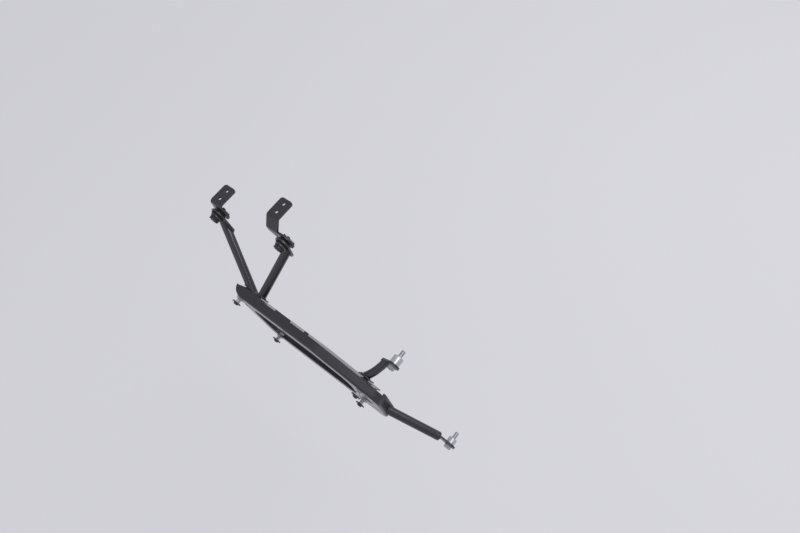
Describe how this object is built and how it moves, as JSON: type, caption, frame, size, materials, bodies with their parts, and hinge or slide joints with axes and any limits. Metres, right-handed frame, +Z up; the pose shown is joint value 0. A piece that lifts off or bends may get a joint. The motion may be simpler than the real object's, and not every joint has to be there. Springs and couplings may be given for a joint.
{
  "type": "pannier frame",
  "caption": "Folded steel side plate with a window and case studs, on welded tube struts that end in quarter-turn releases and bolted eyes.",
  "frame": {"origin": "centre of the front spacer's inner face, where it meets the motorcycle", "axes": "+X forward along the side plate's straight top edge, +Y towards the motorcycle, square to the side plate, +Z up"},
  "size_m": [0.5905, 0.1946, 0.353],
  "materials": {
    "frame_coat": "satin black powder coat",
    "bracket_coat": "matt black powder coat",
    "grommet_rubber": "moulded black rubber",
    "black_steel": "black zinc plate",
    "screw_black": "black oxide",
    "release_black": "black, fine grain",
    "stud_steel": "turned stainless steel",
    "zinc_steel": "bright zinc plate",
    "spacer_aluminium": "turned aluminium"
  },
  "bodies": {
    "frame": {"side_plate": "frame_coat", "rear_strut": "frame_coat", "middle_strut": "frame_coat", "front_strut": "frame_coat", "lower_strut": "frame_coat", "rear_eye": "frame_coat", "middle_eye": "frame_coat", "front_eye": "frame_coat", "lower_eye": "frame_coat", "rear_bracket": "bracket_coat", "middle_bracket": "bracket_coat", "rear_release_grommet": "grommet_rubber", "middle_release_grommet": "grommet_rubber", "rear_release_cup": "black_steel", "middle_release_cup": "black_steel", "rear_release_catch": "black_steel", "middle_release_catch": "black_steel", "rear_release_rivets": "zinc_steel", "middle_release_rivets": "zinc_steel", "rear_upper_stud_spool": "stud_steel", "rear_lower_stud_spool": "stud_steel", "front_upper_stud_spool": "stud_steel", "front_lower_stud_spool": "stud_steel", "rear_upper_stud_disc": "black_steel", "rear_lower_stud_disc": "black_steel", "front_upper_stud_disc": "black_steel", "front_lower_stud_disc": "black_steel", "case_stud_screws": "screw_black", "case_stud_nuts": "zinc_steel", "front_washer": "zinc_steel", "front_bolt": "zinc_steel", "front_spacer": "spacer_aluminium", "lower_washer": "zinc_steel", "lower_bolt": "zinc_steel", "lower_spacer": "spacer_aluminium"},
    "rear_release": {"rear_release_stud": "release_black", "rear_release_cross_pin": "zinc_steel", "rear_release_clip": "zinc_steel"},
    "middle_release": {"middle_release_stud": "release_black", "middle_release_cross_pin": "zinc_steel", "middle_release_clip": "zinc_steel"}
  },
  "joints": [
    {"name": "rear_release_turn", "type": "hinge", "parent": "frame", "child": "rear_release", "pos_m": [-0.446, 0.006, 0.092], "axis": [0, -1, 0], "range_deg": [0, 90]},
    {"name": "middle_release_turn", "type": "hinge", "parent": "frame", "child": "middle_release", "pos_m": [-0.287, 0.03, 0.09], "axis": [0, -1, 0], "range_deg": [0, 90]}
  ]
}
